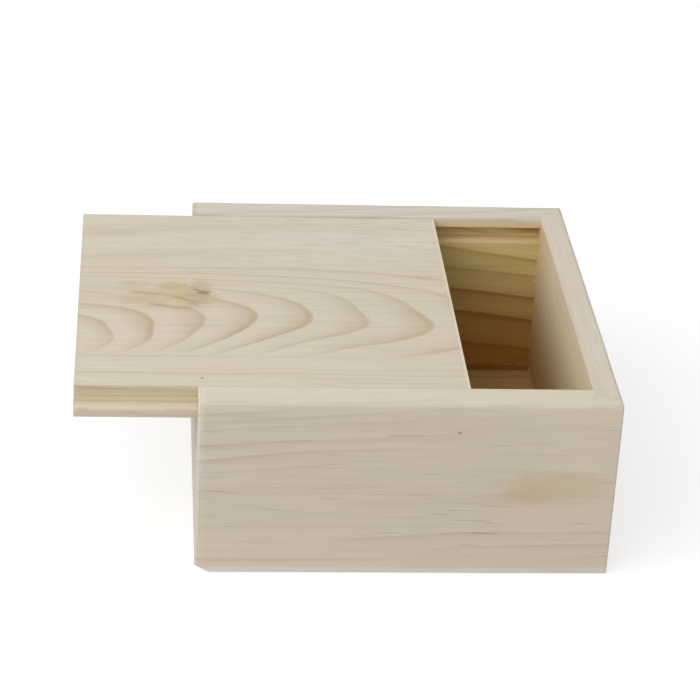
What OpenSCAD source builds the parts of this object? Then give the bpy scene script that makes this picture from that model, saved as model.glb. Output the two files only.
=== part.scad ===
// Keepsake box with a sliding lid, in pale softwood.
// Four boards meet in rebated corners round a thin bottom panel. The lid is a board with
// a rebate along each side, and the tongues that the rebates leave run in grooves in the
// two side walls. One end wall is low, so that the lid draws out over it.
// X runs along the lid's travel, and the lid leaves towards -X. Y runs across the box, from
// the front wall to the rear wall, and Z is up. The origin is the centre of the underside.

/* [Box] */
// Outside length, along the lid's travel
box_l = 150; // [110:1:240]
// Outside width, across the lid's travel
box_w = 165; // [110:1:240]
// Outside height, from the underside to the rims of the tall walls
box_h = 70; // [45:1:120]

/* [Boards] */
// Thickness of the two side walls, which carry the grooves
side_t = 12; // [10:0.5:16]
// Thickness of the two end walls
end_t = 9.5; // [8:0.5:14]
// Depth of every groove and rebate cut into the side walls
rebate_d = 6; // [4:0.5:7]
// Thickness of the bottom panel
base_t = 3; // [2:0.5:5]
// Lap of the bottom panel into each end wall
base_lap = 5; // [3:0.5:6]

/* [Lid] */
// Height of the lip that each side wall keeps above its groove
lip_h = 3.8; // [3:0.1:6]
// Thickness of the tongue along each side of the lid
tongue_t = 5.7; // [3:0.1:8]
// Distance that the lid stands drawn out of the box
lid_out = 43.5; // [0:0.5:90]

/* [Fit] */
// Gap beside each tongue and beside each shoulder of the lid
side_gap = 0.3; // [0.2:0.05:0.8]
// Gap between the lid and the groove floors that it rides on
bed_gap = 0.1; // [0.05:0.05:0.4]
// Gap between each tongue and the lip above it
lip_gap = 0.3; // [0.2:0.05:0.8]
// Depth of the lid's top face below the rims
lid_drop = 0.2; // [0:0.05:0.8]
// Gap between the shut lid and the tall end wall
stop_gap = 0.2; // [0.1:0.05:0.8]

/* [Edges] */
// Radius of the sanded edges round the outside of the box
edge_r = 0.8; // [0.3:0.1:2]
// Radius of the sanded edges of the lid
lid_edge_r = 0.5; // [0.2:0.1:1]
// Reach of the worn corner at the front wall's foot, along the box's length
worn_l = 5.2; // [1:0.1:9]
// Reach of the worn corner across the front wall's thickness
worn_w = 5; // [1:0.1:5.5]
// Reach of the worn corner up the front wall
worn_h = 3.7; // [1:0.1:9]

/* [Hidden] */

// A cutter runs past the face that it opens by this much
past = 1;
arc_steps = 32;

side_colour = [0.79, 0.74, 0.65];
end_colour = [0.81, 0.76, 0.69];
base_colour = [0.74, 0.62, 0.45];
lid_colour = [0.83, 0.78, 0.70];

// The inner faces of the walls, measured from the middle of the box
inner_x = box_l / 2 - end_t;
inner_y = box_w / 2 - side_t;
// Half the length of an end wall, whose ends sit in the side walls' rebates
end_y = inner_y + rebate_d;

// The groove takes the tongue with a gap below and above it
groove_h = bed_gap + tongue_t + lip_gap;
groove_z = box_h - lip_h - groove_h;

// The lid fills the opening from the low end's outer face to the tall wall
lid_l = box_l - end_t - stop_gap;
lid_t = box_h - lid_drop - groove_z - bed_gap;
tongue_w = 2 * (end_y - side_gap);
shoulder_w = 2 * (inner_y - side_gap);

// A rectangle about the origin with rounded corners
module soft_rect(a, b, r) {
    square([a - 2 * r, b], center = true);
    square([a, b - 2 * r], center = true);
    for (x = [-1, 1], y = [-1, 1])
        translate([x * (a / 2 - r), y * (b / 2 - r)])
            circle(r, $fn = arc_steps);
}

// The outside of the box, sanded along all its edges after the boards were glued
module sanded_block() {
    translate([0, 0, box_h / 2])
        intersection() {
            linear_extrude(height = box_h, center = true)
                soft_rect(box_l, box_w, edge_r);
            rotate([90, 0, 0])
                linear_extrude(height = box_w, center = true)
                    soft_rect(box_l, box_h, edge_r);
            rotate([0, 90, 0])
                linear_extrude(height = box_l, center = true)
                    soft_rect(box_h, box_w, edge_r);
        }
}

// A cutter at the inner face of the +Y side wall, from x0 to x1 and from z0 to z1
module side_cut(x0, x1, z0, z1) {
    translate([x0, inner_y - past, z0])
        cube([x1 - x0, rebate_d + past, z1 - z0]);
}

// The +Y side wall, full length, with its lid groove, its two corner rebates
// and the rebate for the bottom panel
module side_wall() {
    difference() {
        intersection() {
            sanded_block();
            translate([-box_l / 2, inner_y, 0])
                cube([box_l, side_t, box_h]);
        }
        // The groove is open at the low end and stops at the tall end wall
        side_cut(-box_l / 2 - past, inner_x, groove_z, groove_z + groove_h);
        // The tall end wall stands in a rebate of full height
        side_cut(inner_x, box_l / 2 + past, -past, box_h + past);
        // The low end wall stands in a rebate that runs into the groove
        side_cut(-box_l / 2 - past, -inner_x, -past, groove_z);
        side_cut(-box_l / 2 - past, box_l / 2 + past, -past, base_t);
    }
}

module side_wall_rear() {
    color(side_colour)
        side_wall();
}

// A cutter whose top face passes through the three ends of the worn corner's reach
module worn_corner() {
    slope = [1 / worn_l, 1 / worn_w, 1 / worn_h];
    depth = 1 / norm(slope);
    reach = 2 * max(worn_l, worn_w, worn_h);
    translate([-box_l / 2, -box_w / 2, 0])
        rotate([0, acos(slope.z * depth), atan2(slope.y, slope.x)])
            translate([-reach, -reach, depth - reach])
                cube([2 * reach, 2 * reach, reach]);
}

// The front wall mirrors the rear one. Its foot is worn away at the low end.
module side_wall_front() {
    color(side_colour)
        difference() {
            mirror([0, 1, 0])
                side_wall();
            worn_corner();
        }
}

// An end wall at +X, from the underside to height h, rebated for the bottom panel
module end_wall(h) {
    difference() {
        intersection() {
            sanded_block();
            translate([inner_x, -end_y, 0])
                cube([end_t, 2 * end_y, h]);
        }
        translate([inner_x - past, -end_y - past, -past])
            cube([base_lap + past, 2 * (end_y + past), base_t + past]);
    }
}

// The wall that the lid shuts against, flush with the rims
module end_wall_tall() {
    color(end_colour)
        end_wall(box_h);
}

// The wall that the lid draws out over, level with the groove floors
module end_wall_low() {
    color(end_colour)
        mirror([1, 0, 0])
            end_wall(groove_z);
}

// Thin plywood, glued into the rebates with its underside level with the walls
module bottom_panel() {
    panel_l = 2 * (inner_x + base_lap);
    color(base_colour)
        translate([-panel_l / 2, -end_y, 0])
            cube([panel_l, 2 * end_y, base_t]);
}

// The lid seen along its travel: a wide tongue below, and the shoulder that
// fills the opening between the lips
module lid_section() {
    translate([0, tongue_t / 2])
        soft_rect(tongue_w, tongue_t, lid_edge_r);
    translate([0, lid_t / 2])
        soft_rect(shoulder_w, lid_t, lid_edge_r);
}

// The lid, drawn out by lid_out, with its two ends sanded
module sliding_lid() {
    color(lid_colour)
        translate([-box_l / 2 - lid_out, 0, groove_z + bed_gap])
            intersection() {
                rotate([90, 0, 90])
                    linear_extrude(height = lid_l)
                        lid_section();
                translate([lid_l / 2, 0, lid_t / 2])
                    rotate([90, 0, 0])
                        linear_extrude(height = tongue_w, center = true)
                            soft_rect(lid_l, lid_t, lid_edge_r);
            }
}

side_wall_front();
side_wall_rear();
end_wall_tall();
end_wall_low();
bottom_panel();
sliding_lid();
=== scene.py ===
import math
import bmesh
import bpy
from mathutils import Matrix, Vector


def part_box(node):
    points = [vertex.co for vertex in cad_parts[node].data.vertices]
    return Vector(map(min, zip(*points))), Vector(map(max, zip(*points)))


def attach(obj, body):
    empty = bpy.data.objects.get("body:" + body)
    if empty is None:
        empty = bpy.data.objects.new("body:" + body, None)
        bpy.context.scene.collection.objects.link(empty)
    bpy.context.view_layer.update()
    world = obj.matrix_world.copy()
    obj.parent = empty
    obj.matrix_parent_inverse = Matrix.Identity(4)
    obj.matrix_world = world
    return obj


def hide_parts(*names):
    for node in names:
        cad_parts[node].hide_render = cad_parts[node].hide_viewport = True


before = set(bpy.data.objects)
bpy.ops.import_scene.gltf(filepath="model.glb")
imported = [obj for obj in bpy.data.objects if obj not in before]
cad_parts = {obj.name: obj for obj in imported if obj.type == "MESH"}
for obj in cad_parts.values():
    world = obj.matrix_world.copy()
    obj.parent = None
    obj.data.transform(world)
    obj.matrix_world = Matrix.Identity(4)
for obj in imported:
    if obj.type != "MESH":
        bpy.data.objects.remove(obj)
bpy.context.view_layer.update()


# ---------------------------------------------------------------- bottom panel
# A thin plywood sheet, sawn square, that lies in a rebate round the underside
# of the four walls and is glued there flush. Its face veneer is the floor that
# shows inside the box, and its edges are hidden in the walls.
MM = 0.001
panel_low, panel_high = [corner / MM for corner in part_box("bottom_panel")]
panel_arris = 0.25
grain_depth = 0.09
worn_strip = 1.3
crisp_angle = 0.55


def eased(corners, apron=worn_strip, steps=4):
    """Rounds the arrises of an outline. A corner is (across, up, radius) and gives points with their wear."""
    outline = []
    for number, (across, up, radius) in enumerate(corners):
        here = Vector((across, up))
        if radius == 0:
            outline.append((across, up, 0.0))
            continue
        before = (Vector(corners[number - 1][:2]) - here).normalized()
        after = (Vector(corners[(number + 1) % len(corners)][:2]) - here).normalized()
        centre = here + (before + after) * radius
        start = here + before * (radius + apron)
        outline.append((start.x, start.y, 0.0))
        for step in range(steps + 1):
            turn = math.pi / 2 * step / steps
            point = centre - after * radius * math.cos(turn) - before * radius * math.sin(turn)
            outline.append((point.x, point.y, 1.0))
        end = here + after * (radius + apron)
        outline.append((end.x, end.y, 0.0))
    return outline


def hand_wobble(place, seed):
    """A slow wave along a board, as an edge sanded by hand has, from -1 to 1."""
    slow = math.sin(place * 0.047 + seed * 2.3)
    middle = math.sin(place * 0.113 + seed)
    quick = math.sin(place * 0.231 + seed * 0.7)
    return (slow + middle + 0.6 * quick) / 2.6


def end_rounding(low, high, radius, apron=worn_strip, pace=2.5):
    """Stations along a board, closer together where its two ends are rounded: (place, inset, worn)."""
    near = []
    for step in range(6):
        turn = math.pi / 2 * step / 5
        near.append((radius * (1 - math.cos(turn)), radius * (1 - math.sin(turn)), 1.0))
    near.append((radius + apron, 0.0, 0.0))
    run = high - low - 2 * (radius + apron)
    count = max(2, round(run / pace))
    stations = [(low + reach, inset, worn) for reach, inset, worn in near]
    for step in range(1, count):
        stations.append((low + radius + apron + run * step / count, 0.0, 0.0))
    stations += [(high - reach, inset, worn) for reach, inset, worn in reversed(near)]
    return stations


def board_from(rings, name):
    """Skins rings of (x, y, z, wear), in millimetres, into a closed board whose place is in its mesh."""
    plank = bmesh.new()
    wear = plank.verts.layers.float.new("wear")
    rows = []
    for ring in rings:
        row = []
        for x, y, z, worn in ring:
            vert = plank.verts.new((x * MM, y * MM, z * MM))
            vert[wear] = worn
            row.append(vert)
        rows.append(row)
    for row, following in zip(rows, rows[1:]):
        for k in range(len(row)):
            plank.faces.new((row[k - 1], row[k], following[k], following[k - 1]))
    plank.faces.new(rows[0])
    plank.faces.new(rows[-1])
    return finish_board(plank, name)


def true_up(plank):
    """Closes the doubles, turns the faces outward, and keeps the sawn ends flat and the cut corners crisp."""
    bmesh.ops.remove_doubles(plank, verts=plank.verts[:], dist=0.002 * MM)
    bmesh.ops.dissolve_degenerate(plank, edges=plank.edges[:], dist=0.001 * MM)
    for face in plank.faces:
        face.smooth = len(face.verts) <= 4
    bmesh.ops.triangulate(plank, faces=[face for face in plank.faces if not face.smooth])
    bmesh.ops.recalc_face_normals(plank, faces=plank.faces[:])
    for edge in plank.edges:
        edge.smooth = len(edge.link_faces) == 2 and edge.calc_face_angle(0.0) < crisp_angle


def placed(name, data):
    """Makes an object and puts it in the scene."""
    thing = bpy.data.objects.new(name, data)
    bpy.context.scene.collection.objects.link(thing)
    return thing


def finish_board(plank, name):
    """Makes the object of a board."""
    true_up(plank)
    mesh = bpy.data.meshes.new(name)
    plank.to_mesh(mesh)
    plank.free()
    return placed(name, mesh)


def shade(red, green, blue):
    """A colour as it is seen, 0 to 255, turned into the linear colour that Blender mixes."""
    channels = [value / 255 for value in (red, green, blue)]
    linear = [v / 12.92 if v <= 0.04045 else ((v + 0.055) / 1.055) ** 2.4 for v in channels]
    return (*linear, 1.0)


def feed(value, socket):
    """Joins a Grain or a socket to an input, or writes a plain value there."""
    if isinstance(value, Grain):
        value = value.socket
    if isinstance(value, bpy.types.NodeSocket):
        socket.id_data.links.new(value, socket)
    else:
        socket.default_value = value


class Grain:
    """A number that changes over the wood. Sums with it are written as Math nodes."""

    def __init__(self, socket):
        self.socket = socket

    def work(self, operation, *others):
        """Works on this number, and on the others that the operation takes after it."""
        node = self.socket.id_data.nodes.new("ShaderNodeMath")
        node.operation = operation
        for socket, value in zip(node.inputs, (self, *others)):
            feed(value, socket)
        return Grain(node.outputs[0])

    def __add__(self, other):
        return self.work("ADD", other)

    def __sub__(self, other):
        return self.work("SUBTRACT", other)

    def __rsub__(self, other):
        return self.work("MULTIPLY_ADD", -1.0, other)

    def __mul__(self, other):
        return self.work("MULTIPLY", other)

    def __truediv__(self, other):
        return self.work("DIVIDE", other)

    def __pow__(self, other):
        return self.work("POWER", other)

    __radd__ = __add__
    __rmul__ = __mul__

    def size(self):
        return self.work("ABSOLUTE")

    def part(self):
        return self.work("FRACT")

    def whole(self):
        return self.work("FLOOR")

    def lower(self, other):
        return self.work("MINIMUM", other)

    def higher(self, other):
        return self.work("MAXIMUM", other)

    def below(self, level):
        return self.work("LESS_THAN", level)

    def above(self, level):
        return self.work("GREATER_THAN", level)

    def ramp(self, start, end):
        """0 before start and 1 after end, with a soft change between."""
        node = self.socket.id_data.nodes.new("ShaderNodeMapRange")
        node.interpolation_type = "SMOOTHSTEP"
        backward = start > end
        feed(self, node.inputs["Value"])
        node.inputs["From Min"].default_value = min(start, end)
        node.inputs["From Max"].default_value = max(start, end)
        node.inputs["To Min"].default_value = 1.0 if backward else 0.0
        node.inputs["To Max"].default_value = 0.0 if backward else 1.0
        return Grain(node.outputs["Result"])

    def spot(self, middle, reach):
        """1 at the middle, falling softly to 0 at the reach on both sides."""
        return (self - middle).size().ramp(reach, 0.0)


class Wood:
    """A board's material. Its pattern is drawn from places along, across and through it, in millimetres."""

    def __init__(self, name, lay):
        self.material = bpy.data.materials.new(name)
        self.material.use_nodes = True
        self.tree = self.material.node_tree
        self.tree.nodes.clear()
        place = self.tree.nodes.new("ShaderNodeTexCoord")
        scaled = self.tree.nodes.new("ShaderNodeVectorMath")
        scaled.operation = "SCALE"
        scaled.inputs["Scale"].default_value = 1000.0
        feed(place.outputs["Object"], scaled.inputs[0])
        apart = self.tree.nodes.new("ShaderNodeSeparateXYZ")
        feed(scaled.outputs[0], apart.inputs[0])
        self.along, self.across, self.through = [Grain(apart.outputs[axis]) for axis in lay]
        again = self.tree.nodes.new("ShaderNodeCombineXYZ")
        for axis, value in zip("XYZ", (self.along, self.across, self.through)):
            feed(value, again.inputs[axis])
        self.place = again.outputs[0]
        facing = self.tree.nodes.new("ShaderNodeSeparateXYZ")
        feed(place.outputs["Normal"], facing.inputs[0])
        self.facing = {axis: Grain(facing.outputs[axis]) for axis in "XYZ"}
        self.end = self.facing[lay[0]].size().ramp(0.55, 0.95)
        worn = self.tree.nodes.new("ShaderNodeAttribute")
        worn.attribute_name = "wear"
        self.wear = Grain(worn.outputs["Fac"])

    def noise(self, long, wide, thick=None, seed=0.0, detail=2.0, rough=0.5):
        """Cloudy variation, drawn out along the grain."""
        stretch = self.tree.nodes.new("ShaderNodeVectorMath")
        stretch.operation = "MULTIPLY_ADD"
        feed(self.place, stretch.inputs[0])
        stretch.inputs[1].default_value = (1 / long, 1 / wide, 1 / (thick or wide))
        stretch.inputs[2].default_value = (seed, seed * 1.7, seed * 0.6)
        cloud = self.tree.nodes.new("ShaderNodeTexNoise")
        cloud.inputs["Scale"].default_value = 1.0
        cloud.inputs["Detail"].default_value = detail
        cloud.inputs["Roughness"].default_value = rough
        feed(stretch.outputs[0], cloud.inputs["Vector"])
        return Grain(cloud.outputs[0])

    def chance(self, number):
        """The same chance value, 0 to 1, wherever the number is the same."""
        node = self.tree.nodes.new("ShaderNodeTexWhiteNoise")
        node.noise_dimensions = "1D"
        feed(number, node.inputs["W"])
        return Grain(node.outputs["Value"])

    def drawn_line(self, points, width, uneven):
        """How near a place is to a line drawn through (along, across) points, 1 on it and 0 beside it."""
        lows = [min(values) for values in zip(*points)]
        spans = [max(values) - low for values, low in zip(zip(*points), lows)]
        path = self.tree.nodes.new("ShaderNodeFloatCurve")
        handles = path.mapping.curves[0].points
        scaled = [((x - lows[0]) / spans[0], (y - lows[1]) / spans[1]) for x, y in points]
        handles[0].location = scaled[0]
        handles[-1].location = scaled[-1]
        for spot in scaled[1:-1]:
            handles.new(*spot)
        path.mapping.update()
        feed((self.along - lows[0]) / spans[0], path.inputs["Value"])
        middle = Grain(path.outputs[0]) * spans[1] + lows[1]
        near = (self.across - middle + uneven).spot(0.0, width)
        first, last = points[0][0], points[-1][0]
        return near * self.along.ramp(first - 1.5, first + 2.0) * self.along.ramp(last + 1.5, last - 1.5)

    def ground(self, amount, one, other):
        """Starts the colour as a mixture of two, each given as it is seen, 0 to 255."""
        self.colour = shade(*one)
        self.stain(amount, other)

    def stain(self, amount, tone, way="MIX"):
        """Lays a colour over what is there already, by a varying amount."""
        node = self.tree.nodes.new("ShaderNodeMix")
        node.data_type = "RGBA"
        node.blend_type = way
        feed(amount, node.inputs[0])
        feed(self.colour, node.inputs[6])
        feed(shade(*tone), node.inputs[7])
        self.colour = node.outputs[2]

    def ellipse(self, along, across, long, wide):
        """0 at the middle of an ellipse on the board, 1 on its edge and more outside it."""
        east = (self.along - along) / long
        north = (self.across - across) / wide
        return east * east + north * north

    def coat(self, roughness, height, depth):
        """Ends the material with its sheen and relief. Depth is the relief's full height in millimetres."""
        relief = self.tree.nodes.new("ShaderNodeBump")
        relief.inputs["Strength"].default_value = 1.0
        relief.inputs["Distance"].default_value = depth * MM
        feed(height, relief.inputs["Height"])
        surface = self.tree.nodes.new("ShaderNodeBsdfPrincipled")
        feed(self.colour, surface.inputs["Base Color"])
        feed(roughness, surface.inputs["Roughness"])
        surface.inputs["Specular IOR Level"].default_value = 0.3
        feed(relief.outputs[0], surface.inputs["Normal"])
        out = self.tree.nodes.new("ShaderNodeOutputMaterial")
        feed(surface.outputs[0], out.inputs["Surface"])
        return self.material


def plywood(name):
    wood = Wood(name, "XYZ")
    drift = wood.noise(90, 16, 8, seed=4.0, detail=3)
    veneer = ((wood.across / 11.0) + drift * 4.2).part()
    band = veneer.ramp(0.35, 0.95) * veneer.ramp(1.0, 0.93)
    fibre = wood.noise(16, 0.5, 0.5, seed=9.0, detail=3, rough=0.6)
    pores = wood.noise(5, 0.28, 0.28, seed=21.0, detail=1).ramp(0.64, 0.72)
    cloud = wood.noise(45, 20, 20, seed=2.0, detail=3)
    wood.ground(cloud.ramp(0.3, 0.7), (176, 146, 106), (188, 160, 122))
    wood.stain(band * 0.45, (146, 108, 66))
    wood.stain(fibre.ramp(0.35, 0.75) * 0.25, (138, 104, 66))
    wood.stain(pores * 0.5, (96, 66, 38))
    on_edge = wood.facing["Z"].size().ramp(0.8, 0.3)
    ply = wood.through.part().spot(0.5, 0.12) * on_edge
    cross_ply = (wood.through - 1.5).size().ramp(0.52, 0.48) * on_edge
    wood.stain(cross_ply * 0.6, (132, 96, 58))
    wood.stain(ply * 0.3, (90, 60, 34))
    wood.stain(wood.wear * cloud * 0.4, (210, 190, 158))
    # Along the foot of the walls the floor gets a darker strip with a dark edge, partly dried glue and partly
    # painted shade in the corner. Then the whole upper face is multiplied warmer and a little darker: painted
    # shade at the bottom of the box.
    upper = wood.through.ramp(2.0, 2.8)
    shaky = (wood.noise(14, 5, 5, seed=37.0, detail=2) - 0.5) * 1.4
    from_wall = 70.5 - wood.across.size() + shaky
    glue = from_wall.ramp(4.2, 3.2) * upper
    wood.stain(glue, (206, 178, 132), "MULTIPLY")
    wood.stain(from_wall.spot(3.9, 0.7) * upper * 0.6, (84, 54, 26))
    wood.stain(upper, (255, 246, 214), "MULTIPLY")
    roughness = 0.62 + fibre * 0.16 - band * 0.06
    height = fibre * 0.5 - pores * 0.5 + band * 0.2
    return wood.coat(roughness, height, grain_depth)


panel_rings = []
for place, inset, worn in end_rounding(panel_low.x, panel_high.x, panel_arris, pace=6):
    keep = max(panel_arris - inset, 0.02)
    corners = [
        (panel_high.y - inset, panel_low.z + inset, keep),
        (panel_high.y - inset, panel_high.z - inset, keep),
        (panel_low.y + inset, panel_high.z - inset, keep),
        (panel_low.y + inset, panel_low.z + inset, keep),
    ]
    section = eased(corners, apron=0.8, steps=2)
    panel_rings.append([(place, y, z, max(worn, wear)) for y, z, wear in section])
panel = board_from(panel_rings, "bottom_panel_plywood")
panel.data.materials.append(plywood("face veneer of the bottom panel"))
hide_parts("bottom_panel")
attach(panel, "box")


# ------------------------------------------------------------------ side walls
# Two softwood boards as long as the box. Each has a groove for the lid ploughed
# below its top lip, a rebate at each end that laps over the end walls, and one
# along its foot for the bottom panel. Their outer edges are sanded by hand.
wall_low, wall_high = [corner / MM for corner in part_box("side_wall_rear")]
tall_low, tall_high = [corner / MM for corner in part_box("end_wall_tall")]
short_low, short_high = [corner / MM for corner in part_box("end_wall_low")]
side_thickness = 12.0
lip_height = 3.8
inner_face = wall_high.y - side_thickness
rebate_face = tall_high.y
lip_foot = wall_high.z - lip_height
ledge = short_high.z
rim_round = 0.8
foot_round = 0.5
inner_round = 0.22
tall_inner = tall_low.x
short_inner = short_high.x


def side_section(place, inset, worn, seed, end):
    """The wall's section at one place: lip, groove, ledge, wall and foot rebate."""
    outer = wall_high.y - inset
    top = wall_high.z - inset
    foot = wall_low.z + inset * 0.6
    rim = max(rim_round * (1 + 0.22 * hand_wobble(place, seed)) - inset, 0.05)
    toe = max(foot_round * (1 + 0.3 * hand_wobble(place, seed + 3)) - inset * 0.6, 0.05)
    inside = max(inner_round * (1 + 0.3 * hand_wobble(place, seed + 5)) - inset, 0.05)
    sawn = 0.16 * (1 + 0.4 * hand_wobble(place * 2.0, seed + 8))
    lip = inner_face + (inset * 0.5 if end == "low" else 0.0)
    corners = [
        (outer, foot, toe),
        (outer, top, rim),
        (lip, top, inside),
        (lip, lip_foot, sawn),
        (rebate_face, lip_foot, 0),
        (rebate_face, ledge, 0),
        (inner_face, ledge, sawn * 1.3),
        (inner_face, panel_high.z, sawn),
        (rebate_face, panel_high.z, 0),
        (rebate_face, foot, sawn),
    ]
    ring = []
    for y, z, wear in eased(corners):
        lapped = end == "tall" or (end == "low" and z <= ledge + 0.001)
        ring.append((place, max(y, rebate_face) if lapped else y, z, max(wear, worn)))
    return ring


def side_wall(name, seed, front):
    rings = []
    stations = end_rounding(wall_low.x, wall_high.x, rim_round)
    low_part = [s for s in stations if s[0] < short_inner - 0.3]
    middle_part = [s for s in stations if short_inner + 0.3 < s[0] < tall_inner - 0.3]
    tall_part = [s for s in stations if s[0] > tall_inner + 0.3]
    rings += [side_section(*s, seed, "low") for s in low_part]
    rings.append(side_section(short_inner, 0.0, 0.0, seed, "low"))
    rings.append(side_section(short_inner, 0.0, 0.0, seed, "middle"))
    rings += [side_section(*s, seed, "middle") for s in middle_part]
    rings.append(side_section(tall_inner, 0.0, 0.0, seed, "middle"))
    rings.append(side_section(tall_inner, 0.0, 0.0, seed, "tall"))
    rings += [side_section(*s, seed, "tall") for s in tall_part]
    if front:
        rings = [[(x, -y, z, worn) for x, y, z, worn in ring] for ring in rings]
    return board_from(rings, name)


def softwood(
    wood, rings, seed, pale, pink, late, contrast=1.0, wander=5.0, fine=1.0, rub=1.0, uneven=0.6,
    glow=None, depth=None, marks=None,
):
    """Pale pine: early wood that darkens into a late line, fine fibres, and arrises dulled by hands, whose
    colour is partly painted light: darker where they face up, partly hand grime and partly painted shade, and
    paler where they face aside, partly wear and partly a painted highlight. Depth adds painted shade to the
    inside faces, deeper toward the floor.
    """
    bend = wood.noise(80, 13, 16, seed=seed, detail=1.5) - 0.5
    kink = wood.noise(60, 22, 24, seed=seed + 3, detail=0) - 0.5
    growth = rings(wood.along + kink * 10.0, wood.across + bend * wander, wood.through)
    year = growth.part()
    fortune = wood.chance(growth.whole())
    line = year.ramp(0.72, 0.92) * year.ramp(1.0, 0.92)
    swell = year.ramp(0.25, 0.92) * year.ramp(1.0, 0.9)
    if glow:
        swell = swell * glow
    late_wood = (line * 0.45 + swell * 0.55) * (1.1 - uneven + fortune * uneven) * contrast
    fibre = wood.noise(30, 0.6, 0.6, seed=seed + 7, detail=3, rough=0.62)
    streak = wood.noise(90, 2.4, 2.4, seed=seed + 11, detail=2, rough=0.55)
    dash = wood.noise(22, 0.5, 0.6, seed=seed + 17, detail=1).ramp(0.68, 0.76)
    cloud = wood.noise(60, 17, 17, seed=seed + 23, detail=3, rough=0.5)
    wood.ground(cloud.ramp(0.32, 0.68), pale, pink)
    wood.stain(streak.ramp(0.42, 0.75) * 0.2 * fine, late)
    wood.stain(fibre.ramp(0.38, 0.8) * 0.22 * fine, late)
    wood.stain(fibre.ramp(0.6, 0.25) * 0.2 * fine, (226, 216, 198))
    wood.stain(dash * 0.26 * fine * (1 - wood.end), (150, 118, 78))
    wood.stain(late_wood, late)
    if marks:
        marks(wood)
    wood.stain(wood.end * 0.5, (194, 178, 152))
    wood.stain(wood.end * late_wood * 0.8, (146, 110, 70))
    # Worn arrises: the multiply where they face up is partly hand grime and partly painted shade that holds
    # back the lamp's highlight; the lightening where they face aside is partly wear and partly a painted
    # highlight.
    rubbed = wood.wear**3 * (1 - wood.end) * (0.3 + wood.noise(9, 5, 5, seed=seed + 31, detail=2)) * rub
    upward = wood.facing["Z"].ramp(0.1, 0.6)
    wood.stain((rubbed * upward).lower(1.0), (226, 222, 214), "MULTIPLY")
    wood.stain(rubbed * (1.0 - upward) * 0.45, (232, 226, 212))
    # Painted shade inside the box: the inside faces are multiplied warmer and darker, more so toward the
    # floor.
    if depth:
        inside, deep, first, last = depth
        wood.stain(inside, first, "MULTIPLY")
        wood.stain(inside * deep, last, "MULTIPLY")
    roughness = 0.56 + fibre * 0.14 - late_wood * 0.12 - wood.wear * 0.05
    height = fibre * 0.35 + streak * 0.25 + late_wood * 0.5 - dash * 0.4 + wood.end * fibre * 0.6
    return wood.coat(roughness, height, grain_depth)


def foot_and_rim(wood):
    """Painted light on the side walls: the foot of the outer face is lightened in patches, a painted
    reflection of the white table; the band below the rim is lightened, a painted highlight on its rounding;
    and the faces that look up are toned darker, painted shade.
    """
    outside = wood.through.size().ramp(81.0, 82.0)
    patchy = wood.noise(14, 3, 3, seed=93.0, detail=2)
    foot = wood.across.ramp(3.6, 0.6) * (0.4 + patchy * 0.8) * outside
    wood.stain(foot * 0.9, (232, 228, 222))
    rim = wood.across.ramp(62.5, 68.5) * outside
    wood.stain(rim * 0.2, (226, 214, 190))
    wood.stain(wood.facing["Z"].ramp(0.8, 0.95) * 0.4, (204, 198, 182))


# The rear board: its rings cut the inner face as broad bands that fall to the right.
rear_wood = Wood("pine of the rear side wall", "XZY")


def rear_rings(along, across, through):
    level = across + along * 0.14
    return level * 0.0507 + level * level * 0.00056 - (through - 70.5) * 0.125 + 0.67


def rear_marks(wood):
    """Painted light near the top of the inside face, over the lip, the groove and the ledge's arris; painted
    shade in the groove toward its end; outside, the foot, rim and top as the side walls have them.
    """
    foot_and_rim(wood)
    painted_light_near_top = wood.across.ramp(48.0, 59.0) * (0.3 + rear_lip_and_arris_highlight * 0.45)
    wood.stain(rear_inside * painted_light_near_top, (236, 222, 204))
    groove_end_painted_shade = wood.along.ramp(48.0, 62.0) * wood.across.spot(63.4, 3.6) * rear_inside
    wood.stain(groove_end_painted_shade.lower(1.0), (222, 200, 150), "MULTIPLY")


rear_inside = rear_wood.through.ramp(77.2, 76.4) * rear_wood.across.ramp(69.6, 68.6)
rear_inside = rear_inside * (1.0 - rear_wood.end)
# The lip, with a painted highlight strip on the arris at the ledge.
rear_lip_and_arris_highlight = rear_wood.across.ramp(65.9, 66.3) + rear_wood.across.spot(60.1, 1.6) * 0.8
# Painted shade inside, kept lighter on the lip.
rear_painted_shade = rear_inside * (1.0 - rear_lip_and_arris_highlight * 0.45)
rear_wall = side_wall("side_wall_rear_board", 1.0, False)
rear_wall.data.materials.append(
    softwood(
        rear_wood,
        rear_rings,
        3.0,
        (213, 209, 198),
        (214, 205, 193),
        (160, 128, 82),
        contrast=0.38 + rear_inside * 0.42,
        fine=1.2 - rear_inside * 0.5,
        wander=5.0,
        # Painted shade on the inside faces, warmer and darker toward the floor.
        depth=(rear_painted_shade, rear_wood.across.ramp(58.0, 6.0), (255, 240, 176), (230, 186, 136)),
        marks=rear_marks,
    )
)
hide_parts("side_wall_rear")
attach(rear_wall, "box")

# The front board: fine streaks that rise a little, one small pin knot, and a soft olive stain near
# its right end. Its foot has lost a corner.
front_wood = Wood("pine of the front side wall", "XZY")


def front_rings(along, across, through):
    crowded = front_wood.noise(170, 11, 14, seed=13.0, detail=0) * 9.0
    rising = along * (across.ramp(18.0, 46.0) * 0.09 + 0.006)
    return (across - rising + through * 0.5 + crowded) / 5.2


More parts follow.
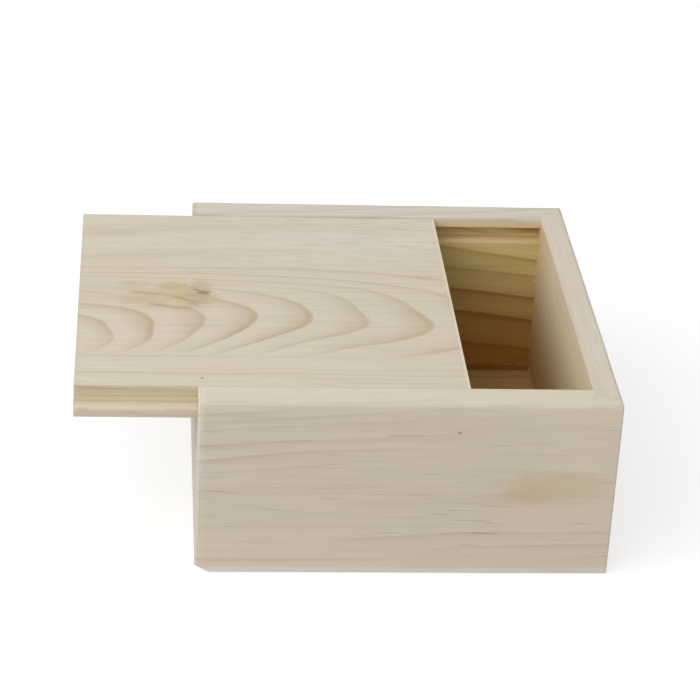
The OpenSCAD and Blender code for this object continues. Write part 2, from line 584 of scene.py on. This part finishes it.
def front_marks(wood):
    # The face is paler and pinker toward the foot and toward the right end, except where it looks up.
    paler_low_and_right = (wood.across.ramp(32.0, 8.0) + wood.along.ramp(30.0, 62.0)).lower(1.0)
    wood.stain(paler_low_and_right * 0.35 * wood.facing["Z"].ramp(0.9, 0.5), (228, 208, 190))
    check = wood.noise(18.0, 0.9, 1.1, seed=111.0, detail=0.0).ramp(0.75, 0.83)
    wood.stain(check * 0.34, (160, 136, 104))
    foot_and_rim(wood)
    torn = wood.noise(0.9, 5, 2, seed=63.0, detail=3, rough=0.6).ramp(0.3, 0.6)
    sawn_edge = wood.along.ramp(-71.9, -73.4) * wood.across.ramp(20.0, 62.0) * torn
    wood.stain(sawn_edge * 0.55, (232, 214, 198))
    broken = wood.noise(22, 3, 3, seed=51.0, detail=3)
    for *place, amount in ((52.0, 36.5, 27.0, 9.5, 0.4), (42.5, 33.0, 12.0, 5.5, 0.25)):
        stain = (wood.ellipse(*place) + (broken - 0.5) * 1.6).ramp(1.0, 0.1)
        wood.stain(stain * amount, (196, 174, 128))
    knot = wood.ellipse(17.3, 58.7, 0.75, 0.6).ramp(1.0, 0.3)
    wood.stain(knot * 0.55, (96, 70, 44))


front_inside = front_wood.through.ramp(-77.2, -76.4) * front_wood.across.ramp(68.6, 66.4)
front_inside = front_inside * (1.0 - front_wood.end)
front_broken = front_wood.noise(90, 9, 12, seed=19.0, detail=2).ramp(0.42, 0.62)
front_wall = side_wall("side_wall_front_board", 4.0, True)
lost_along, lost_across, lost_up = 5.2, 5.0, 3.7
corner_cut = bmesh.new()
corner_cut.from_mesh(front_wall.data)
cut_normal = Vector((1 / lost_along, 1 / lost_across, 1 / lost_up)).normalized()
cut_point = Vector((wall_low.x + lost_along, -wall_high.y, wall_low.z)) * MM
everything = corner_cut.verts[:] + corner_cut.edges[:] + corner_cut.faces[:]
bmesh.ops.bisect_plane(
    corner_cut, geom=everything, plane_co=cut_point, plane_no=cut_normal, clear_inner=True
)
open_edges = [edge for edge in corner_cut.edges if edge.is_boundary]
bmesh.ops.holes_fill(corner_cut, edges=open_edges)
wear_layer = corner_cut.verts.layers.float["wear"]
for edge in open_edges:
    for vert in edge.verts:
        vert[wear_layer] = 1.0
bpy.data.objects.remove(front_wall)
front_wall = finish_board(corner_cut, "side_wall_front_board_worn")
front_wall.data.materials.append(
    softwood(
        front_wood,
        front_rings,
        41.0,
        (212, 203, 185),
        (217, 202, 186),
        (180, 150, 112),
        contrast=front_broken * 0.36 + front_wood.across.ramp(26.0, 14.0) * (0.1 + front_broken * 0.2),
        fine=0.58,
        rub=0.5,
        # Painted shade on the inside faces, warmer and darker toward the floor.
        depth=(front_inside, front_wood.across.ramp(58.0, 6.0), (255, 240, 176), (230, 186, 136)),
        marks=front_marks,
    )
)
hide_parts("side_wall_front")
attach(front_wall, "box")


# ------------------------------------------------------------------- end walls
# Two thinner softwood boards let into the rebates of the side walls and glued.
# The tall one stops the lid; the low one ends level with the grooves, so that
# the lid slides out over it. Both lap over the bottom panel.
seam_round = 0.07


def end_wall(name, low, high, outward, top_round, seed):
    """Sweeps the end wall's section across the box. Outward is 1 where its outer face looks to +X."""
    rings = []
    stations = [(-high.y, seam_round, 1.0), (-high.y + seam_round, 0.0, 1.0), (-high.y + 1.2, 0.0, 0.0)]
    stations += [(-inner_face - 0.05, 0.0, 0.0), (-inner_face + 0.05, 0.0, 0.0)]
    count = 48
    for step in range(1, count):
        stations.append((-inner_face + 2 * inner_face * step / count, 0.0, 0.0))
    stations += [(-place, inset, worn) for place, inset, worn in reversed(stations[:5])]
    outer_face = high.x if outward > 0 else low.x
    in_face = low.x if outward > 0 else high.x
    lap_face = panel_high.x if outward > 0 else panel_low.x
    for place, inset, worn in stations:
        in_box = abs(place) < inner_face
        rim = max(top_round * (1 + 0.2 * hand_wobble(place, seed)) - inset, 0.03)
        inside = inner_round * (1 + 0.3 * hand_wobble(place, seed + 4)) if in_box else seam_round
        corners = [
            (outer_face - outward * inset, low.z, foot_round),
            (outer_face - outward * inset, high.z - inset, rim),
            (in_face, high.z - inset, max(inside - inset, 0.03)),
            (in_face, panel_high.z, 0.15),
            (lap_face, panel_high.z, 0),
            (lap_face, low.z, 0.15),
        ]
        rings.append([(x, place, z, max(wear, worn)) for x, z, wear in eased(corners)])
    return board_from(rings, name)


tall_wood = Wood("pine of the tall end wall", "YZX")


def tall_rings(along, across, through):
    return (across + along * 0.02 + through * 0.4 + 11.0) / 7.2


def tall_marks(wood):
    """Painted light: the inside face is made paler than the rest."""
    wood.stain(tall_inside * 0.3, (226, 214, 190))


tall_inside = tall_wood.through.ramp(66.6, 65.7) * tall_wood.across.ramp(69.7, 69.0)
tall_outside = tall_wood.through.ramp(74.5, 74.9)
# Painted shade inside: darker toward the floor and toward the rear corner.
tall_painted_shade = tall_wood.across.ramp(60.0, 0.0).higher(tall_wood.along.ramp(30.0, 70.5) * 0.36)
tall_wall = end_wall("end_wall_tall_board", tall_low, tall_high, 1, rim_round, 2.0)
tall_wall.data.materials.append(
    softwood(
        tall_wood,
        tall_rings,
        61.0,
        (208, 200, 185),
        (210, 197, 181),
        (184, 160, 124),
        contrast=0.2 + tall_outside * 0.4,
        fine=0.5 + tall_outside * 0.6,
        rub=0.4,
        depth=(tall_inside, tall_painted_shade * 0.8, (255, 250, 232), (236, 198, 138)),
        marks=tall_marks,
    )
)
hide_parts("end_wall_tall")
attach(tall_wall, "box")

short_wood = Wood("pine of the low end wall", "YZX")


def short_rings(along, across, through):
    return (across - along * 0.03 - through * 0.4 + 4.0) / 6.1


short_inside = short_wood.through.ramp(-66.6, -65.7) * short_wood.across.ramp(60.0, 59.4)
short_wall = end_wall("end_wall_low_board", short_low, short_high, -1, 0.45, 7.0)
# Painted light: the low wall's colours are paler and greyer than the other walls', so that its outer face
# stays bright and neutral under the lid's overhang. Depth adds painted shade to its inside faces, deeper
# toward the floor.
short_wall.data.materials.append(
    softwood(
        short_wood,
        short_rings,
        83.0,
        (212, 205, 195),
        (213, 201, 190),
        (198, 180, 156),
        contrast=0.4,
        depth=(short_inside, short_wood.across.ramp(58.0, 4.0), (250, 236, 190), (230, 186, 136)),
    )
)
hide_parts("end_wall_low")
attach(short_wall, "box")


# ------------------------------------------------------------------ dried glue
# Where the walls meet each other and the panel, wood glue was squeezed out when
# the box was clamped, and small beads of it dried in the inside corners.
glue_sizes = {
    "Tall wall": tall_inner,
    "Low wall": short_inner,
    "Half width inside": inner_face,
    "Floor": panel_high.z,
    "Highest bead": 57.0,
    "Largest bead": 0.42,
}
beads_in_a_corner = 12
bead_corners = 8


class Rule:
    """A Geometry Nodes tree with a named input for each size and one for the material."""

    def __init__(self, name, sizes):
        self.tree = bpy.data.node_groups.new(name, "GeometryNodeTree")
        self.sizes = sizes
        face = self.tree.interface
        face.new_socket("Geometry", in_out="OUTPUT", socket_type="NodeSocketGeometry")
        self.sockets = {}
        for label in sizes:
            self.sockets[label] = face.new_socket(label, in_out="INPUT", socket_type="NodeSocketFloat")
        self.material = face.new_socket("Material", in_out="INPUT", socket_type="NodeSocketMaterial")
        self.given = self.tree.nodes.new("NodeGroupInput")
        self.size = {label: Grain(self.given.outputs[label]) for label in sizes}

    def node(self, kind, **inputs):
        """Adds a node and feeds its inputs by name."""
        node = self.tree.nodes.new(kind)
        for label, value in inputs.items():
            feed(value, node.inputs[label.replace("_", " ")])
        return node

    def grain(self, kind):
        """A number that each point has, from a node without inputs."""
        return Grain(self.tree.nodes.new(kind).outputs[0])

    def finish(self, geometry):
        """Ends the rule: real geometry, with its material set."""
        real = self.node("GeometryNodeRealizeInstances", Geometry=geometry).outputs[0]
        paint = self.given.outputs["Material"]
        painted = self.node("GeometryNodeSetMaterial", Geometry=real, Material=paint).outputs[0]
        feed(painted, self.tree.nodes.new("NodeGroupOutput").inputs[0])

    def made(self, name, paint):
        """Works the rule out once, and gives its result as a plain object."""
        piece = placed(name, bpy.data.meshes.new(name))
        maker = piece.modifiers.new(name, "NODES")
        maker.node_group = self.tree
        for label, value in self.sizes.items():
            maker[self.sockets[label].identifier] = value
        maker[self.material.identifier] = paint
        seen = piece.evaluated_get(bpy.context.evaluated_depsgraph_get())
        mesh = bpy.data.meshes.new_from_object(seen)
        piece.modifiers.clear()
        mesh.materials.clear()
        mesh.materials.append(paint)
        for face in mesh.polygons:
            face.material_index = 0
            face.use_smooth = True
        piece.data = mesh
        return piece


glue_rule = Rule("beads of glue in the inside corners", glue_sizes)
glue_size = glue_rule.size


def glue_chance(seed):
    """A chance value, 0 to 1, of its own for each bead."""
    node = glue_rule.node("FunctionNodeRandomValue")
    node.data_type = "FLOAT"
    node.inputs["Seed"].default_value = seed
    return Grain(node.outputs[1])


# The same number of beads in each corner: four corners stand between walls, four lie along the floor.
beads = glue_rule.node("GeometryNodeMeshLine", Count=beads_in_a_corner * bead_corners)
bead = glue_rule.grain("GeometryNodeInputIndex")
corner = (bead / beads_in_a_corner).whole()
lying = corner.above(3.5)
side = corner.work("MODULO", 2.0) * 2.0 - 1.0
corner_pair = (corner / 2.0).whole()
far = corner_pair.work("MODULO", 2.0) * 2.0 - 1.0
inside_middle = (glue_size["Tall wall"] + glue_size["Low wall"]) * 0.5
inside_half = (glue_size["Tall wall"] - glue_size["Low wall"]) * 0.5
anywhere = glue_chance(5) * 1.96 - 0.98
along_box = lying * far.above(0.0)
across_box = lying - along_box
bead_x = inside_middle + inside_half * (anywhere * along_box + side * (1.0 - along_box))
bead_y = glue_size["Half width inside"] * (anywhere * across_box + side * along_box + far * (1.0 - lying))
standing_room = glue_size["Highest bead"] - glue_size["Floor"]
bead_z = glue_size["Floor"] + (1.0 - lying) * glue_chance(8) * standing_room
bead_place = glue_rule.node("ShaderNodeCombineXYZ", X=bead_x * MM, Y=bead_y * MM, Z=bead_z * MM)
bead_place = bead_place.outputs[0]
beads = glue_rule.node("GeometryNodeSetPosition", Geometry=beads.outputs[0], Position=bead_place)
drop = glue_rule.node("GeometryNodeMeshIcoSphere", Radius=MM, Subdivisions=2)
fat = glue_size["Largest bead"] * (0.35 + glue_chance(3) ** 3 * 0.65)
run = fat * (1.2 + glue_chance(12) * 2.2)
bead_size = glue_rule.node(
    "ShaderNodeCombineXYZ",
    X=fat + (run - fat) * along_box,
    Y=fat + (run - fat) * across_box,
    Z=fat + (run - fat) * (1.0 - lying),
).outputs[0]
set_down = glue_rule.node(
    "GeometryNodeInstanceOnPoints", Points=beads.outputs[0], Instance=drop.outputs[0], Scale=bead_size
)
glue_rule.finish(set_down.outputs[0])

glue_look = Wood("dried wood glue", "XYZ")
glue_cloud = glue_look.noise(1.6, 1.6, seed=15.0, detail=3)
glue_skin = glue_look.noise(0.25, 0.25, seed=27.0, detail=2)
glue_look.ground(glue_cloud.ramp(0.3, 0.7), (196, 166, 112), (222, 202, 162))
glue_look.stain(glue_skin.ramp(0.55, 0.75) * 0.4, (168, 132, 84))
glue_paint = glue_look.coat(0.32 + glue_skin * 0.25, glue_skin, 0.03)
glue = glue_rule.made("glue_beads", glue_paint)
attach(glue, "box")


# ------------------------------------------------------------------------- lid
# A flat-sawn softwood board, rebated along both sides so that the tongues left
# below run in the grooves. It is drawn partly out over the low end wall, and its
# face shows nested arches of grain, a resin streak and a pin knot.
lid_low, lid_high = [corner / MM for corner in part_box("sliding_lid")]
tongue_width = 6.0
tongue_thickness = 5.7
lid_sizes = {
    "Drawn end": lid_low.x,
    "Stop end": lid_high.x,
    "Tongue half width": lid_high.y,
    "Shoulder half width": lid_high.y - tongue_width,
    "Underside": lid_low.z,
    "Tongue top": lid_low.z + tongue_thickness,
    "Face": lid_high.z,
    "Worn arris": 0.24,
    "Rubbed tongue": 1.5,
    "Inner corner": 0.06,
    "Apron beside an arris": 1.6,
}
lid_rule = Rule("lid section drawn along its travel", lid_sizes)
lid_size = lid_rule.size


def place_of(x, y, z):
    return lid_rule.node("ShaderNodeCombineXYZ", X=x, Y=y, Z=z).outputs[0]


def kept(geometry, label, value):
    """Stores a value on the points under a name, so that the sweep carries it along."""
    node = lid_rule.tree.nodes.new("GeometryNodeStoreNamedAttribute")
    node.data_type = "FLOAT"
    node.domain = "POINT"
    feed(geometry, node.inputs["Geometry"])
    node.inputs["Name"].default_value = label
    feed(value, node.inputs["Value"])
    return node.outputs[0]


def recalled(label):
    """The value that was stored under a name."""
    node = lid_rule.node("GeometryNodeInputNamedAttribute")
    node.data_type = "FLOAT"
    node.inputs["Name"].default_value = label
    return Grain(node.outputs[0])


# The section: eight corners, each with a point on either side where the worn strip ends.
tongue = lid_size["Tongue half width"]
shoulder = lid_size["Shoulder half width"]
one_half = [(tongue, "Underside"), (tongue, "Tongue top"), (shoulder, "Tongue top"), (shoulder, "Face")]
other_half = [(0 - reach, level) for reach, level in reversed(one_half)]
lid_corners = [
    place_of(reach, lid_size[level], 0.0) for reach, level in other_half[-1:] + one_half + other_half[:-1]
]
corner_count = len(lid_corners)
point = lid_rule.grain("GeometryNodeInputIndex")
corner_number = (point / 3.0).whole()
corner_step = point - corner_number * 3.0


def corner_place(number):
    """The place of the corner that has this number."""
    node = lid_rule.node("GeometryNodeIndexSwitch")
    node.data_type = "VECTOR"
    while len(node.index_switch_items) < corner_count:
        node.index_switch_items.new()
    feed(number, node.inputs["Index"])
    for item, corner in enumerate(lid_corners):
        feed(corner, node.inputs[str(item)])
    return node.outputs[0]


def vector_step(operation, first, second=None, scale=None):
    node = lid_rule.node("ShaderNodeVectorMath")
    node.operation = operation
    feed(first, node.inputs[0])
    if second is not None:
        feed(second, node.inputs[1])
    if scale is not None:
        feed(scale, node.inputs["Scale"])
    return node.outputs[0]


here = corner_place(corner_number)
previous = corner_place((corner_number + corner_count - 1).work("MODULO", corner_count))
following = corner_place((corner_number + 1).work("MODULO", corner_count))
back = vector_step("NORMALIZE", vector_step("SUBTRACT", previous, here))
onward = vector_step("NORMALIZE", vector_step("SUBTRACT", following, here))
apron = lid_size["Apron beside an arris"]
is_back = corner_step.below(0.5)
is_onward = corner_step.above(1.5)
is_corner = 1.0 - is_back - is_onward
beside = vector_step(
    "ADD",
    vector_step("SCALE", back, scale=is_back * apron),
    vector_step("SCALE", onward, scale=is_onward * apron),
)
dots = lid_rule.node("GeometryNodeMeshLine", Count=corner_count * 3)
lid_outline = lid_rule.node(
    "GeometryNodeSetPosition", Geometry=dots.outputs[0], Position=vector_step("ADD", here, beside)
).outputs[0]
lid_outline = kept(lid_outline, "wear", is_corner)
lid_outline = lid_rule.node("GeometryNodeMeshToCurve", Mesh=lid_outline).outputs[0]
lid_outline = lid_rule.node("GeometryNodeSetSplineCyclic", Geometry=lid_outline, Cyclic=True).outputs[0]
is_hollow = corner_number.work("COMPARE", 3, 0.1) + corner_number.work("COMPARE", 6, 0.1)
is_tongue = corner_number.work("COMPARE", 2, 0.1) + corner_number.work("COMPARE", 7, 0.1)
arris = is_corner * (
    lid_size["Worn arris"] * (1.0 - is_hollow - is_tongue)
    + lid_size["Inner corner"] * is_hollow
    + lid_size["Rubbed tongue"] * is_tongue
)
round_over = lid_rule.node("GeometryNodeFilletCurve")
if "Mode" in round_over.inputs:
    round_over.inputs["Mode"].default_value = "Poly"
else:
    round_over.mode = "POLY"
feed(lid_outline, round_over.inputs["Curve"])
round_over.inputs["Count"].default_value = 4
feed(arris, round_over.inputs["Radius"])
lid_outline = round_over.outputs[0]
spot_on = lid_rule.node("GeometryNodeInputPosition").outputs[0]
spot_parts = lid_rule.node("ShaderNodeSeparateXYZ", Vector=spot_on)
lid_outline = kept(lid_outline, "across", spot_parts.outputs["X"])
lid_outline = kept(lid_outline, "up", spot_parts.outputs["Y"])
run_of_curve = lid_rule.node("GeometryNodeInputTangent").outputs[0]
run_parts = lid_rule.node("ShaderNodeSeparateXYZ", Vector=run_of_curve)
lid_outline = kept(lid_outline, "out across", run_parts.outputs["Y"])
lid_outline = kept(lid_outline, "out up", 0 - Grain(run_parts.outputs["X"]))

# The travel: stations every 2 mm or so, closer together where the sawn ends are rounded.
lid_stations = 80
end_steps = 5
travel = lid_rule.node("GeometryNodeMeshLine", Count=lid_stations)
from_end = point.lower(lid_stations - 1.0 - point)
bend = from_end.lower(end_steps) * (math.pi / 2 / end_steps)
arris_size = lid_size["Worn arris"]
length = lid_size["Stop end"] - lid_size["Drawn end"]
pace = (length - 2.0 * arris_size) / (lid_stations - 1 - 2 * end_steps)
reach = arris_size * (1.0 - bend.work("COSINE")) + (from_end - end_steps).higher(0.0) * pace
far_half = point.above(lid_stations / 2 - 0.5)
station = lid_size["Drawn end"] + reach + far_half * (length - 2.0 * reach)
travel_line = lid_rule.node(
    "GeometryNodeSetPosition", Geometry=travel.outputs[0], Position=place_of(station, 0.0, 0.0)
).outputs[0]
travel_line = kept(travel_line, "along", station)
travel_line = kept(travel_line, "drawn in", arris_size * 0.75 * (1.0 - bend.work("SINE")))
travel_line = kept(travel_line, "end wear", from_end.below(end_steps + 0.5))
travel_line = lid_rule.node("GeometryNodeMeshToCurve", Mesh=travel_line).outputs[0]
swept = lid_rule.node(
    "GeometryNodeCurveToMesh", Curve=travel_line, Profile_Curve=lid_outline, Fill_Caps=True
).outputs[0]

# The points go to their place, and hands have rubbed the arrises a little unevenly.
wave = lid_rule.node("ShaderNodeTexNoise", Vector=place_of(recalled("along") / 21.0, recalled("across"), 0.0))
wave.inputs["Scale"].default_value = 1.0
rub = (Grain(wave.outputs[0]) - 0.3).higher(0.0) * recalled("wear") * 0.3
drawn_in = recalled("drawn in").higher(rub)
final_place = place_of(
    recalled("along") * MM,
    (recalled("across") - recalled("out across") * drawn_in) * MM,
    (recalled("up") - recalled("out up") * drawn_in) * MM,
)
swept = lid_rule.node("GeometryNodeSetPosition", Geometry=swept, Position=final_place).outputs[0]
swept = kept(swept, "wear", recalled("wear").higher(recalled("end wear")))
lid_rule.finish(swept)


def lid_marks(wood):
    """What doesn't repeat: flecks, a yellow late line, the rebates with painted shade under the shoulder and
    in their inside corner, a painted highlight on the stop end's arris, the resin streak and the pin knot.
    """
    wood.stain(lid_calm * 0.35, (214, 208, 196))
    fleck = wood.noise(14.0, 1.2, 1.2, seed=101.0, detail=1.0)
    wood.stain(fleck.ramp(0.56, 0.74) * lid_calm * 0.34, (172, 152, 118))
    wood.stain(fleck.ramp(0.44, 0.26) * lid_calm * 0.4, (222, 212, 190))
    line = (wood.across + 61.0 + wood.noise(60, 9, 9, seed=77.0) * 2.0 - 1.0).spot(0.0, 1.3)
    wood.stain(line * 0.4, (186, 174, 130))
    rebate = wood.across.size().ramp(70.05, 70.2) * wood.through.ramp(65.2, 65.8)
    upright = wood.facing["Y"].size().ramp(0.6, 0.8)
    # The ledge is darkened, partly for its rougher sawn surface and partly as painted shade beneath the
    # shoulder.
    wood.stain(rebate * (1.0 - upright * 0.9), (242, 238, 218), "MULTIPLY")
    shoulder_face = rebate * upright * wood.through.ramp(65.8, 66.2)
    wood.stain(shoulder_face * 0.68, (232, 217, 188))
    tool_line = wood.noise(34, 3, 0.5, seed=87.0, detail=2.0).ramp(0.52, 0.68)
    wood.stain(tool_line * shoulder_face * 0.5, (166, 142, 104))
    # The upper part of the tongue's outer face is painted paler.
    paler_upper_tongue = wood.across.size().ramp(75.9, 76.3) * wood.through.ramp(62.9, 63.7)
    wood.stain(paler_upper_tongue * 0.6, (234, 218, 192))
    # A painted highlight along the worn arris at the stop end.
    stop_arris_painted_highlight = wood.along.ramp(lid_high.x - 1.4, lid_high.x - 0.5) * wood.through.ramp(69.0, 69.4)
    wood.stain(wood.wear**2 * stop_arris_painted_highlight * 0.75, (240, 224, 198))
    # A dark line in the rebate's inside corner is painted shade; a fainter wavering dark line runs along the
    # ledge.
    ledge_line = (wood.across.size() - 74.3 + wood.noise(30, 4, 4, seed=35.0) * 0.8).spot(0.4, 0.9)
    corner = (wood.across.size() - 70.4).spot(0.0, 0.5) + ledge_line * 0.6
    wood.stain((corner * rebate).lower(0.8) * 0.5, (140, 122, 84))
    uneven = wood.noise(9, 2.6, 2.6, seed=71.0, detail=3) - 0.5
    ragged = wood.noise(3.2, 1.2, 1.2, seed=47.0, detail=2) - 0.5
    shaky = wood.noise(5, 1.6, 1.6, seed=29.0, detail=2) - 0.5
    for *place, amount, tone in (
        (-88.0, 0.0, 20.0, 14.0, 0.45, (200, 186, 156)),
        (-89.0, -3.2, 14.0, 8.0, 0.66, (190, 173, 142)),
        (-75.0, -1.8, 8.6, 9.4, 0.85, (180, 162, 130)),
        (-73.4, 8.6, 5.6, 4.6, 0.55, (180, 162, 130)),
        (-97.5, 8.5, 6.0, 3.2, 0.5, (184, 171, 138)),
        (-83.0, 2.6, 6.0, 3.4, 0.55, (203, 187, 142)),
        (-84.0, 7.4, 6.6, 4.2, 0.72, (180, 170, 120)),
        (-82.6, -6.0, 4.6, 3.2, 0.66, (207, 191, 152)),
        (-76.9, 11.5, 1.5, 5.0, 0.35, (218, 200, 184)),
        (-71.6, 2.2, 2.6, 1.6, 0.75, (146, 124, 94)),
    ):
        drop = (wood.ellipse(*place) + uneven * 1.4 + ragged * 1.5).ramp(1.35, 0.0)
        wood.stain(drop * amount, tone)
    trace_path = (-99.0, 2.0), (-92.7, 1.3), (-87.4, 0.6), (-83.7, -0.9), (-78.5, -3.6), (-74.4, -8.0)
    brim_path = (-91.9, -7.6), (-86.3, -9.2), (-80.0, -10.6), (-77.0, -10.8)
    bark_path = (-76.0, 4.6), (-72.6, 3.6), (-70.2, 0.2)
    trace = wood.drawn_line(trace_path, 2.0, shaky * 2.2)
    brim = wood.drawn_line(brim_path, 1.9, shaky * 2.2)
    bark = wood.drawn_line(bark_path, 1.3, shaky * 1.6)
    lumps = 0.6 + uneven * 1.2
    wood.stain(trace * lumps * 0.76, (158, 138, 98))
    wood.stain(brim * lumps * 0.8, (152, 130, 92))
    wood.stain(bark * 0.6, (140, 118, 84))
    knot = wood.ellipse(-73.5, -64.4, 0.8, 0.8).ramp(1.0, 0.3)
    wood.stain(knot * 0.6, (112, 84, 52))


lid_wood = Wood("flat-sawn pine of the lid", "XYZ")
flank_middle = -24.0


def lopsided(distance):
    """The distance from a line, counted longer on the side nearer to the eye."""
    return distance.higher(distance * -1.3)


def lid_rings(along, across, through):
    """Arches open to the drawn end, that flatten into straight lines along both edges of the board."""
    before, beyond = (-20.0 - along).higher(0.0), (along + 20.0).higher(0.0)
    heart = -17.5 - before * before * 0.0019 - beyond * 0.09
    spread = lopsided(across - heart)
    arch = spread.lower(26.0)
    flank = lopsided(across - flank_middle)
    hold = 1.0 - flank.ramp(26.0, 58.0) * 0.95
    straight = (flank - 30.0).higher(0.0) * 1.6
    limbs = arch * arch * 0.038 + (spread - arch) * 1.6
    reach_along = (along - 22.0) * hold + 126.2 + limbs + straight + (through - 69.8) * 7.0
    return reach_along * 0.06377 - reach_along * reach_along * 0.0001123 - 0.0233


lid_flank = lopsided(lid_wood.across - flank_middle)
lid_calm = lid_wood.across.ramp(22.0, 36.0) * (0.5 + lid_wood.along.ramp(-95.0, -25.0) * 0.5)
lid_quiet = lid_calm.higher(lid_wood.across.ramp(-41.0, -51.0) * 1.65)
lid_broken = 0.65 + lid_wood.noise(16, 5, 6, seed=59.0, detail=2.0) * 0.7
lid_material = softwood(
    lid_wood,
    lid_rings,
    7.0,
    (205, 197, 180),
    (208, 194, 176),
    (174, 152, 116),
    contrast=(0.62 - lid_quiet * 0.34) * lid_broken,
    wander=4.0,
    fine=0.8,
    rub=0.3,
    uneven=0.35,
    glow=0.35 + lid_flank.ramp(30.0, 4.0) * 0.95,
    marks=lid_marks,
)
lid = lid_rule.made("sliding_lid_board", lid_material)
lid_shape = bmesh.new()
lid_shape.from_mesh(lid.data)
true_up(lid_shape)
lid_shape.to_mesh(lid.data)
lid_shape.free()
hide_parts("sliding_lid")
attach(lid, "lid")


# ------------------------------------------------------------ table and lights
# A plain white table top, a broad soft lamp above and to the left, a weak one
# further round to the left, and a white room. The camera stands in front and above, far back.
def looked_at(tree):
    """1 on the rays that the camera sees, by itself or mirrored, and 0 on the rays that light the box."""
    path = tree.nodes.new("ShaderNodeLightPath")
    rays = [Grain(path.outputs[f"Is {kind} Ray"]) for kind in ("Camera", "Glossy", "Transmission")]
    return (rays[0] + rays[1] + rays[2]).lower(1.0)


table_grey = 0.45
table_glow = 0.62
room_glow = 0.64
table = bmesh.new()
bmesh.ops.create_grid(table, x_segments=8, y_segments=8, size=1.6)
bmesh.ops.translate(table, verts=table.verts, vec=(0.0, 0.0, -0.0002))
table_mesh = bpy.data.meshes.new("table_top")
table.to_mesh(table_mesh)
table.free()
table_top = placed("table_top", table_mesh)
table_paint = bpy.data.materials.new("white table top")
table_paint.use_nodes = True
paint = table_paint.node_tree
paint.nodes.clear()
chalk = paint.nodes.new("ShaderNodeBsdfDiffuse")
chalk.inputs["Color"].default_value = (table_grey, table_grey, table_grey, 1.0)
glow = paint.nodes.new("ShaderNodeEmission")
glow.inputs["Color"].default_value = (1.0, 1.0, 1.0, 1.0)
feed(looked_at(paint) * table_glow, glow.inputs["Strength"])
both = paint.nodes.new("ShaderNodeAddShader")
feed(chalk.outputs[0], both.inputs[0])
feed(glow.outputs[0], both.inputs[1])
paint_out = paint.nodes.new("ShaderNodeOutputMaterial")
feed(both.outputs[0], paint_out.inputs["Surface"])
table_mesh.materials.append(table_paint)

room = bpy.data.worlds.new("white room")
bpy.context.scene.world = room
room.use_nodes = True
room_tree = room.node_tree
room_tree.nodes.clear()
room_level = looked_at(room_tree) * (1 - room_glow) + room_glow
room_light = room_tree.nodes.new("ShaderNodeBackground")
room_light.inputs["Color"].default_value = (1.0, 1.0, 1.0, 1.0)
feed(room_level, room_light.inputs["Strength"])
room_out = room_tree.nodes.new("ShaderNodeOutputWorld")
feed(room_light.outputs[0], room_out.inputs["Surface"])


def soft_lamp(name, place, aim, width, watts):
    light = bpy.data.lights.new(name, "AREA")
    light.shape = "SQUARE"
    light.size = width
    light.energy = watts
    lamp = placed(name, light)
    lamp.location = place
    lamp.rotation_euler = (Vector(aim) - Vector(place)).to_track_quat("-Z", "Y").to_euler()


soft_lamp("broad lamp above left", (-0.85, -0.8, 1.05), (0.0, 0.0, 0.04), 1.3, 12.2)
soft_lamp("weak lamp from the left", (-1.15, -0.15, 0.7), (0.02, 0.0, 0.05), 0.9, 3.9)

eye = bpy.data.cameras.new("camera")
eye.lens = 132.38
eye.sensor_width = 36.0
camera = placed("camera", eye)
camera.location = (-0.0955, -0.8628, 0.5096)
camera.rotation_euler = [math.radians(angle) for angle in (61.877, -2.763, -3.817)]
bpy.context.scene.camera = camera
bpy.context.scene.view_settings.view_transform = "Standard"
